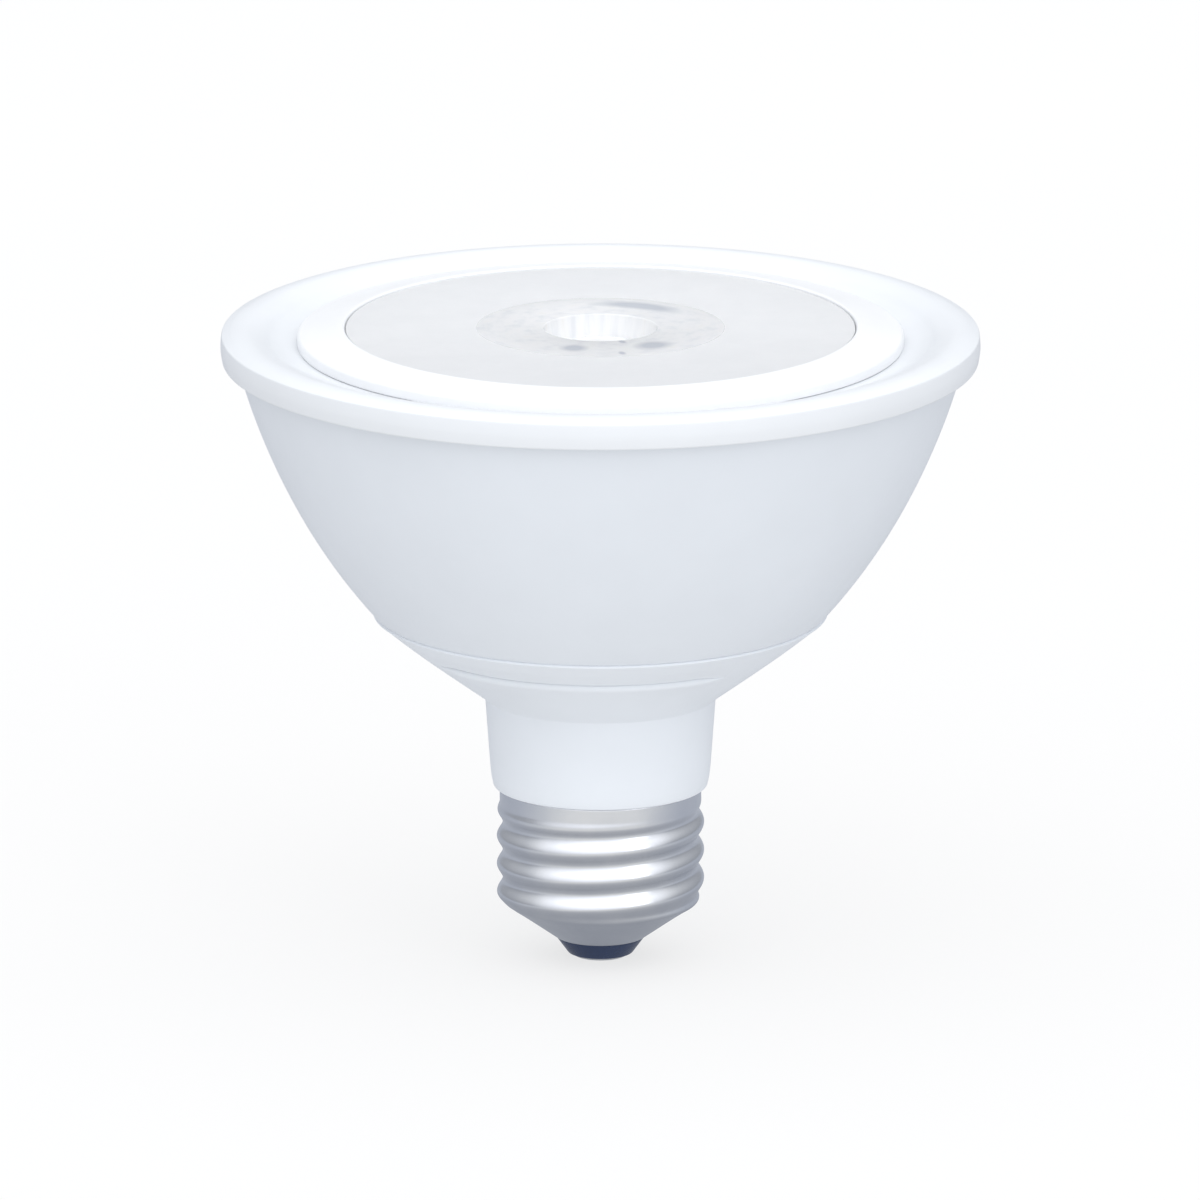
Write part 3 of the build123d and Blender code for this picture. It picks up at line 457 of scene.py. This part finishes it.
# ------------------------------------------------------------ white mouldings
# upper housing: reflector-shaped wall down to the parting line
house_out = smooth_fit([(28.63, 45.10), (31.16, 48.15), (33.43, 51.19), (35.45, 54.21), (37.27, 57.22),
                        (38.90, 60.22), (40.37, 63.23), (41.70, 66.25), (42.93, 69.27), (44.00, 72.31),
                        (44.86, 75.10), (45.18, 76.20), (45.43, 77.15)], 5, 96)
house_in = [p for p in inset(house_out, 1.75) if 47.0 < p[1] < 74.4]
housing = lathe("housing_moulding", joined(
    [(25.90, 44.58)],
    rounded([(25.90, 44.58, 0), (27.90, 44.58, 0.06), (28.12, 44.80, 0.05), (28.36, 44.87, 0.01),
             house_out[0] + (0,)], 3),
    house_out,
    rounded([house_out[-1] + (0,), (45.05, 77.15, 0.05), (45.05, 79.20, 0.15), (43.30, 79.20, 0.15),
             (43.30, 75.40, 0.5), house_in[-1] + (0,)], 3),
    list(reversed(house_in)),
    [(27.10, 46.00), (25.90, 46.00)],
), 288)
place(housing, "outer_housing", WHITE_BODY)

# front rim: crisp barrelled band, crowned top, shallow dish down to the air slit
rim = lathe("rim_moulding", joined(
    rounded([(45.20, 78.40, 0), (45.20, 77.15, 0.04), (47.27, 77.15, 0.32), (47.44, 78.15, 0)], 6),
    through([(47.44, 78.15), (47.49, 78.60), (47.50, 79.05), (47.48, 79.50), (47.45, 79.90)], 16),
    rounded([(47.45, 79.90, 0), (47.39, 80.42, 0.26), (46.75, 80.68, 0)], 6),
    through([(46.75, 80.68), (46.10, 80.90), (45.20, 81.04), (44.20, 81.02), (43.10, 80.74), (42.20, 80.38),
             (41.20, 79.80), (40.10, 79.36), (39.10, 79.15), (38.20, 79.10), (37.60, 79.095)], 76),
    rounded([(37.60, 79.095, 0), (37.30, 79.095, 0.06), (37.30, 77.45, 0.2), (41.90, 77.45, 0.4),
             (43.15, 78.40, 0.3), (43.15, 79.30, 0.1), (45.20, 79.30, 0.1), (45.20, 78.40, 0)], 3),
), 320)
place(rim, "front_rim", WHITE_RIM)

# lens ring
ring = lathe("ring_moulding", joined(
    rounded([(33.0, 81.33, 0), (37.90, 80.50, 0.45), (37.90, 79.15, 0.10), (36.90, 79.15, 0.15),
             (36.90, 75.80, 0.3), (35.60, 75.80, 0.3), (35.60, 79.00, 0.05), (33.75, 79.00, 0.1),
             (33.75, 80.40, 0.1), (32.00, 80.40, 0.15), (32.00, 81.50, 0.28), (33.0, 81.33, 0)], 6),
), 320)
place(ring, "lens_ring", WHITE_RING)

# lens: frosted plate, clear collimator with its pocket and entry well
pocket = [(6.60 * t, 79.60 - 1.40 * t ** 2.2) for t in np.linspace(0, 1, 20)]
well = [(4.80 * t, 72.00 + 1.40 * t ** 2.0) for t in np.linspace(1, 0, 16)]
tir = through([(15.60, 79.40), (13.10, 75.70), (9.70, 71.50), (6.70, 68.20)], 28)
lens = lathe("lens_optic", joined(
    pocket,
    rounded([(6.60, 78.20, 0), (6.66, 78.30, 0.1), (7.10, 81.20, 0.20), (15.4, 81.20, 0)], 4),
    [(15.6, 81.20), (15.8, 81.20)],
    rounded([(15.8, 81.20, 0), (31.85, 81.20, 0.12), (31.85, 80.40, 0.05), (33.60, 80.40, 0.1),
             (33.60, 79.40, 0.1), (15.9, 79.40, 0)], 4),
    tir,
    [(5.10, 68.20)],
    well,
), 256)
place(lens, "lens", LENS)

# ------------------------------------------------------- neck and vented cone
NECK = through([(13.64, 23.00), (13.82, 24.60), (13.94, 26.10), (14.05, 27.60), (14.16, 29.20),
                (14.28, 30.80), (14.39, 32.40), (14.46, 33.30)], 30)
CONE = [(16.59, 35.38), (17.79, 36.26), (18.98, 37.13), (20.15, 38.00), (21.29, 38.86), (22.42, 39.71),
        (23.51, 40.56), (24.58, 41.39), (25.62, 42.21), (27.15, 43.48), (28.12, 44.32)]
cone_fit = smooth_fit(CONE, 3, 80)
cr = np.array([p[0] for p in cone_fit])
cz = np.array([p[1] for p in cone_fit])


def cone_r(z):
    if z < cz[0]:
        return float(cr[0] + (z - cz[0]) * (cr[1] - cr[0]) / (cz[1] - cz[0]))
    return float(np.interp(z, cz, cr))


inner_pts = inset(cone_fit, 1.70)
ir = np.array([p[0] for p in inner_pts])
iz = np.array([p[1] for p in inner_pts])


def inside_r(z):
    if z < iz[0]:
        return float(ir[0] + (z - iz[0]) * (ir[1] - ir[0]) / (iz[1] - iz[0]))
    return float(np.interp(z, iz, ir))


VENT_Z = 40.31                                     # height of the lip's top on the cone's face
VENT_LIP, VENT_PROUD = 0.70, 0.22                  # lip's radius, and how far it stands out of the face
VENT_GAP, VENT_SCOOP = 0.12, 0.35                  # slot's width, and depth of the scoop above it
VENT_END = 5.0                                     # mm over which a vent tapers out
WALL = 1.70


def vent_half(deg):
    """How far the vent is open at this azimuth, 0 where the wall is whole."""
    for k in range(3):
        x = (deg + 149.0 - 120.0 * k) % 360.0
        if 0.0 < x < 100.0:
            d = min(x, 100.0 - x) * radians(1.0) * 23.0     # mm from the nearer end
            if d >= VENT_END:
                return 1.0
            return sin(pi / 2 * d / VENT_END)
    return 0.0


def relief(deg):
    """1 for the vent at the front, 0 for the two that lie flush, out of sight."""
    return 1.0 if 0.0 < (deg + 149.0) % 360.0 < 100.0 else 0.0


def on_face(z, along, out):
    """Point that lies so far up the cone's face from height z, and so far out of it."""
    k = atan2(0.2, cone_r(z + 0.1) - cone_r(z - 0.1))
    return (cone_r(z) + along * cos(k) + out * sin(k), z + along * sin(k) - out * cos(k))


def smooth(t):
    t = min(1.0, max(0.0, t))
    return t * t * (3.0 - 2.0 * t)


def lip_z(h):
    return VENT_Z + 0.30 * (1.0 - h)


def vent_lip(h, f, steps=9):
    """Rounded lower lip of a vent, from its top on the cone's face to the slot."""
    rad = VENT_LIP * h
    return [on_face(lip_z(h), rad * sin(a), VENT_PROUD * h * f - rad + rad * cos(a)) for a in np.linspace(0, pi / 2, steps)]


def slot_low(h):
    """Slot's lower edge on the inside of the wall."""
    z = on_face(lip_z(h), VENT_LIP * h, -WALL)[1]
    return (inside_r(z), z)


def slot_up(h):
    z = on_face(lip_z(h), (VENT_LIP + VENT_GAP) * h, -WALL)[1]
    return (inside_r(z), z)


def scoop_edge(h, f):
    """Slot's upper edge on the outside of the wall."""
    return on_face(lip_z(h), (VENT_LIP + VENT_GAP) * h, -VENT_SCOOP * h * f)



def case_mesh():
    degs = set(np.round(np.linspace(0, 360, 320, endpoint=False), 4))
    end = degrees(VENT_END / 23.0)
    for k in range(3):
        for e, sgn in ((-149.0 + 120.0 * k, 1), (-49.0 + 120.0 * k, -1)):
            for t in np.linspace(0, 1, 14):
                degs.add(round((e + sgn * end * t * t) % 360.0, 4))
    degs = sorted(degs)
    keep = [degs[0]]
    for d in degs[1:]:
        if d - keep[-1] > 0.12 or vent_half(d) != vent_half(keep[-1]):
            keep.append(d)
    degs = keep
    n = len(degs)
    cols = [(cos(radians(d)), sin(radians(d))) for d in degs]
    half = [vent_half(d) for d in degs]
    proud = [relief(d) for d in degs]
    half = [h if h > 0.03 else 0.0 for h in half]
    verts, faces = [], []

    def ring(r_of, z_of):
        ids = []
        for j in range(n):
            z = z_of(j)
            r = r_of(z)
            ids.append(len(verts))
            verts.append((r * cols[j][0], r * cols[j][1], z))
        return ids

    def strip(a, b, wall=None):
        for j in range(n):
            k = (j + 1) % n
            if wall is not None and not wall(j, k):
                continue
            f = []
            for v in (a[j], a[k], b[k], b[j]):
                if v not in f:
                    f.append(v)
            if len(f) > 2:
                faces.append(f)

    def fixed(points):
        return [ring(lambda z, r=r: r, lambda j, z=z: z) for r, z in points]

    # below the vents, outside: spigot, shoulder, neck, cone up to the vents' lower edge
    low = fixed(joined(
        [(10.50, 9.60), (11.80, 9.60), (11.80, 22.24)],
        rounded([(11.80, 22.24, 0), (13.44, 22.24, 0.30), NECK[1] + (0,)], 6),
        NECK[1:],
        rounded([NECK[-1] + (0,), (14.52, 33.85, 0.35), (cone_r(35.0), 35.0, 0)], 6),
    ))
    for a, b in zip(low, low[1:]):
        strip(a, b)
    prev = low[-1]
    lip = [vent_lip(h, f) for h, f in zip(half, proud)]
    for t in np.linspace(0, 1, 26)[1:]:
        cur = []
        for j in range(n):
            z = 35.0 + t * (lip_z(half[j]) - 35.0)
            r, z = on_face(z, 0.0, VENT_PROUD * half[j] * proud[j] * smooth((t - 0.45) / 0.55))
            cur.append(len(verts))
            verts.append((r * cols[j][0], r * cols[j][1], z))
        strip(prev, cur)
        prev = cur
    for s in range(1, len(lip[0])):
        cur = []
        for j in range(n):
            if half[j] > 0:
                r, z = lip[j][s]
                cur.append(len(verts))
                verts.append((r * cols[j][0], r * cols[j][1], z))
            else:
                cur.append(prev[j])
        strip(prev, cur)
        prev = cur
    out_low = prev
    # upper edge of the vents: its own row where a vent is open, else the lower one
    out_up = []
    for j in range(n):
        if half[j] > 0:
            r, z = scoop_edge(half[j], proud[j])
            out_up.append(len(verts))
            verts.append((r * cols[j][0], r * cols[j][1], z))
        else:
            out_up.append(out_low[j])
    prev = out_up
    for t in np.linspace(0, 1, 22)[1:]:
        cur = []
        for j in range(n):
            z = on_face(lip_z(half[j]), (VENT_LIP + VENT_GAP) * half[j], 0.0)[1]
            r, z = on_face(z + t * (43.90 - z), 0.0, -VENT_SCOOP * half[j] * proud[j] * (1.0 - smooth(t / 0.75)))
            cur.append(len(verts))
            verts.append((r * cols[j][0], r * cols[j][1], z))
        strip(prev, cur)
        prev = cur
    # proud lip at the parting line, tongue, then down the inside to the vents' upper edge
    top = fixed(joined(
        rounded([(cone_r(43.90), 43.90, 0), (28.57, 44.60, 0.11), (28.34, 44.855, 0.02), (28.14, 44.78, 0.02),
                 (27.92, 44.55, 0.02), (25.75, 44.54, 0.05), (25.75, 45.70, 0.2), (24.70, 45.70, 0.2), (24.70, 43.66, 0)], 6)[1:]))
    strip(prev, top[0])
    for a, b in zip(top, top[1:]):
        strip(a, b)
    prev = top[-1]
    for t in np.linspace(0, 1, 12)[1:]:
        cur = ring(inside_r, lambda j, t=t: 43.66 + t * (slot_up(half[j])[1] - 43.66))
        strip(prev, cur)
        prev = cur
    in_up = prev
    in_low = []
    for j in range(n):
        if half[j] > 0:
            r, z = slot_low(half[j])
            in_low.append(len(verts))
            verts.append((r * cols[j][0], r * cols[j][1], z))
        else:
            in_low.append(in_up[j])
    prev = in_low
    for t in np.linspace(0, 1, 14)[1:]:
        cur = ring(inside_r, lambda j, t=t: slot_low(half[j])[1] + t * (36.2 - slot_low(half[j])[1]))
        strip(prev, cur)
        prev = cur
    last = fixed([(13.90, 35.60), (13.90, 58.80), (12.30, 58.80), (12.30, 23.40), (10.50, 23.40)])
    strip(prev, last[0])
    for a, b in zip(last, last[1:]):
        strip(a, b)
    strip(last[-1], low[0])
    # floors and roofs of the vents
    open_col = lambda j, k: half[j] > 0 or half[k] > 0
    steps = 4
    floor_rows, roof_rows = [out_low], [out_up]
    for s in range(1, steps):
        t = s / steps
        fl, ro = [], []
        for j in range(n):
            if half[j] > 0:
                for rows, (ra, za), (rb, zb) in ((fl, lip[j][-1], slot_low(half[j])),
                                                 (ro, scoop_edge(half[j], proud[j]), slot_up(half[j]))):
                    r, z = ra + t * (rb - ra), za + t * (zb - za)
                    rows.append(len(verts))
                    verts.append((r * cols[j][0], r * cols[j][1], z))
            elif half[(j + 1) % n] > 0 or half[j - 1] > 0:
                (ra, za), (rb, zb) = on_face(lip_z(0.0), 0.0, 0.0), slot_low(0.0)
                r, z = ra + t * (rb - ra), za + t * (zb - za)
                fl.append(len(verts))
                ro.append(len(verts))
                verts.append((r * cols[j][0], r * cols[j][1], z))
            else:
                fl.append(-1)
                ro.append(-1)
        floor_rows.append(fl)
        roof_rows.append(ro)
    floor_rows.append(in_low)
    roof_rows.append(in_up)
    for rows in (floor_rows, roof_rows):
        for a, b in zip(rows, rows[1:]):
            strip(a, b, open_col)
    return to_object("case_moulding", verts, faces, 30.0)


place(case_mesh(), "driver_case", WHITE)

# ------------------------------------------------------------------ screw base
PITCH, CREST, ROOT = 3.629, 13.04, 12.30
MEAN = (CREST + ROOT) / 2
HALF_DEPTH = (CREST - ROOT) / 2
ROOT_Z = 15.52                                     # a root's height on the +X side


def step(x, a, b):
    t = min(1.0, max(0.0, (x - a) / (b - a)))
    return t * t * (3 - 2 * t)


# one pitch of the rolled thread: an even wave
def thread_wave(u):
    return -HALF_DEPTH * cos(2.0 * pi * u)


base_line = joined(
    through([(5.72, 2.58), (8.05, 4.26), (10.35, 5.90), (11.72, 6.82), (12.26, 7.18), (12.52, 7.55), (12.63, 8.05), (12.66, 8.60)], 48),
    [(12.67, z) for z in np.linspace(8.75, 21.95, 122)],
    [(12.65, 22.04), (12.60, 22.12), (12.50, 22.17)],
)


def shell_mesh():
    segs = 264
    verts, faces, rows = [], [], []

    def row(points):
        ids = []
        for j, (r, z) in enumerate(points):
            a = 2 * pi * j / segs
            ids.append(len(verts))
            verts.append((r * cos(a), r * sin(a), z))
        rows.append(ids)

    def wall(r0, z, j):
        deg = 360.0 * j / segs
        w = step(z, 6.5, 8.1) * (1.0 - step(z, 18.3, 20.6))
        u = (z - ROOT_Z - PITCH * deg / 360.0) / PITCH
        return r0 + w * thread_wave(u)

    for r0, z in base_line:
        row([(wall(r0, z, j), z) for j in range(segs)])
    # folded top edge, then the inside, one wall thickness in
    row([(12.36, 22.19)] * segs)
    inside = [(12.27, 22.15)] + [(r - 0.35, z) for r, z in reversed(base_line[::3]) if 9.0 < z < 21.9]
    for r0, z in inside:
        row([(max(11.86, wall(r0 + 0.0, z, j)), z) for j in range(segs)])
    cone_in = [(r - 0.225, z + 0.268) for r, z in reversed(base_line[:38:3]) if z < 7.3]
    for r0, z in cone_in:
        row([(min(r0, 11.95), z)] * segs)
    n = len(rows)
    for i in range(n):
        a, b = rows[i], rows[(i + 1) % n]
        for j in range(segs):
            k = (j + 1) % segs
            faces.append([a[j], a[k], b[k], b[j]])
    return to_object("screw_shell_rolled", verts, faces, 40.0)


place(shell_mesh(), "screw_shell", NICKEL)

insulator = lathe("insulator_moulding", joined(
    rounded([(1.55, 0.35, 0), (4.05, 0.35, 0.40), (5.58, 2.46, 0.12), (5.40, 2.86, 0.05), (8.10, 5.20, 0.1),
             (1.55, 5.20, 0.1), (1.55, 0.35, 0)], 6),
), 192)
place(insulator, "base_insulator", BLACK)

contact = lathe("contact_button", joined(
    [(0.0, 0.0)],
    rounded([(0.6, 0.0, 0), (3.40, 0.0, 0.30), (3.40, 0.35, 0.04), (1.50, 0.35, 0.04), (1.50, 5.80, 0.1),
             (0.70, 5.80, 0.1), (0.70, 2.50, 0.05), (0.3, 2.50, 0)], 5),
    [(0.0, 2.50)],
), 128)
place(contact, "centre_contact", TIN)

# ----------------------------------------------------------------------- stage
floor_me = bpy.data.meshes.new("floor")
floor_me.from_pydata([(-6, -6, -0.0003), (6, -6, -0.0003), (6, 6, -0.0003), (-6, 6, -0.0003)], [], [(0, 1, 2, 3)])
floor = bpy.data.objects.new("floor", floor_me)
bpy.context.scene.collection.objects.link(floor)
fm, fnt, fb = new_mat("floor_pale")
fco = add(fnt, "ShaderNodeTexCoord").outputs["Object"]
fn = noise(fnt, fco, 6.0, 2.0)
fr = ramp(fnt, fn.outputs["Fac"], [(0.3, (0.208, 0.208, 0.208)), (0.7, (0.212, 0.212, 0.212))])
fnt.links.new(fr.outputs["Color"], fb.inputs["Base Color"])
fb.inputs["Emission Color"].default_value = (1.0, 1.0, 1.0, 1.0)
fb.inputs["Emission Strength"].default_value = 0.715
fb.inputs["Roughness"].default_value = 0.9
fb.inputs["Specular IOR Level"].default_value = 0.1
# painted light and shadow for mirrored rays: as the nickel mirrors it the floor glows brightest in front, bluer
# at the sides, and a painted shadow makes it darkest under the lamp
_, _, frad, _ = polar_coords(fnt)
fsep = add(fnt, "ShaderNodeSeparateXYZ")
fnt.links.new(fco, fsep.inputs["Vector"])
fside = add(fnt, "ShaderNodeMath", operation="DIVIDE")
fnt.links.new(fsep.outputs["Y"], fside.inputs[0])
fnt.links.new(frad, fside.inputs[1])
floor_painted_light = ramp(fnt, to_range(fnt, fside.outputs["Value"], 1.0, 0.0, -1.0, 1.0).outputs["Result"],
             [(0.0, (0.50, 0.53, 0.60)), (0.45, (0.58, 0.61, 0.68)), (0.72, (0.74, 0.76, 0.80)), (0.90, (0.95, 0.95, 0.95))])
# painted shadow: darker within 8 to 55 mm of the axis
floor_painted_shadow = to_range(fnt, frad, 0.0, 1.0, 0.008, 0.055)
fmul = add(fnt, "ShaderNodeMix", data_type="RGBA")
fnt.links.new(floor_painted_shadow.outputs["Result"], fmul.inputs["Factor"])
fmul.inputs["A"].default_value = (0.375, 0.395, 0.440, 1.0)
fnt.links.new(floor_painted_light.outputs["Color"], fmul.inputs["B"])
floor_painted_glow = add(fnt, "ShaderNodeEmission")
fnt.links.new(fmul.outputs["Result"], floor_painted_glow.inputs["Color"])
fpath = add(fnt, "ShaderNodeLightPath")
fsoft = to_range(fnt, fpath.outputs["Is Diffuse Ray"], 0.715, 0.650, 0.0, 1.0)
fnt.links.new(fsoft.outputs["Result"], fb.inputs["Emission Strength"])
fmix = add(fnt, "ShaderNodeMixShader")
fnt.links.new(fpath.outputs["Is Glossy Ray"], fmix.inputs["Fac"])
fnt.links.new(fb.outputs["BSDF"], fmix.inputs[1])
fnt.links.new(floor_painted_glow.outputs["Emission"], fmix.inputs[2])
fnt.links.new(fmix.outputs["Shader"], fnt.nodes["Material Output"].inputs["Surface"])
floor_me.materials.append(fm)

world = bpy.data.worlds.new("studio")
bpy.context.scene.world = world
world.use_nodes = True
wnt = world.node_tree
bg = wnt.nodes["Background"]
wco = add(wnt, "ShaderNodeTexCoord").outputs["Generated"]
wsep = add(wnt, "ShaderNodeSeparateXYZ")
wnt.links.new(wco, wsep.inputs["Vector"])
up = ramp(wnt, wsep.outputs["Z"], [(z, (v * (0.955 + 0.045 * z), v, v * (1.09 - 0.09 * z))) for z, v in
                                   ((0.0, .17), (0.12, .19), (0.35, .25), (0.60, .36), (0.80, .62), (1.0, .70))])
toward = add(wnt, "ShaderNodeVectorMath", operation="DOT_PRODUCT")
toward.inputs[1].default_value = (0.0, -0.871, 0.491)
wnt.links.new(wco, toward.inputs[0])
lobe = ramp(wnt, toward.outputs["Value"], [(d, (v, v, v)) for d, v in
                                           ((0.0, 0.0), (0.28, 0.02), (0.55, .10), (0.78, .22), (0.92, .37), (1.0, .42))])
broad = ramp(wnt, toward.outputs["Value"], [(d, (v, v, v * 1.03)) for d, v in
                                            ((0.0, 0.02), (0.20, 0.06), (0.45, .22), (0.70, .32), (0.92, .40), (1.0, .42))])
wpath = add(wnt, "ShaderNodeLightPath")
front = add(wnt, "ShaderNodeMix", data_type="RGBA")
wnt.links.new(wpath.outputs["Is Glossy Ray"], front.inputs["Factor"])
wnt.links.new(lobe.outputs["Color"], front.inputs["A"])
wnt.links.new(broad.outputs["Color"], front.inputs["B"])
both = add(wnt, "ShaderNodeMix", data_type="RGBA", blend_type="ADD")
both.inputs["Factor"].default_value = 1.0
wnt.links.new(up.outputs["Color"], both.inputs["A"])
wnt.links.new(front.outputs["Result"], both.inputs["B"])
wnt.links.new(both.outputs["Result"], bg.inputs["Color"])
bg.inputs["Strength"].default_value = 2.2


def area(name, loc, target, size, power, colour=(1, 1, 1)):
    d = bpy.data.lights.new(name, "AREA")
    d.shape = "RECTANGLE"
    d.size, d.size_y = size
    d.energy = power
    d.color = colour
    o = bpy.data.objects.new(name, d)
    o.location = loc
    o.rotation_euler = (Vector(target) - Vector(loc)).to_track_quat("-Z", "Y").to_euler()
    bpy.context.scene.collection.objects.link(o)
    return o


area("right_soft", (1.3, -1.5, 0.8), (0, 0, 0.05), (1.0, 1.0), 3.0)

cam_d = bpy.data.cameras.new("camera")
cam = bpy.data.objects.new("camera", cam_d)
bpy.context.scene.collection.objects.link(cam)
elev, dist, aim = radians(14.5), 2.6, Vector((-0.00006, 0.0, 0.046))
cam.location = aim + Vector((0.0, -dist * cos(elev), dist * sin(elev)))
cam.rotation_euler = (aim - cam.location).to_track_quat("-Z", "Y").to_euler()
cam_d.sensor_width = 36.0
cam_d.lens = 622.0
cam_d.clip_start, cam_d.clip_end = 0.05, 60.0
cam_d.dof.use_dof = False
bpy.context.scene.camera = cam

scene = bpy.context.scene
scene.view_settings.view_transform = "Standard"
scene.view_settings.look = "None"
scene.view_settings.exposure = 0.0
scene.view_settings.gamma = 1.0
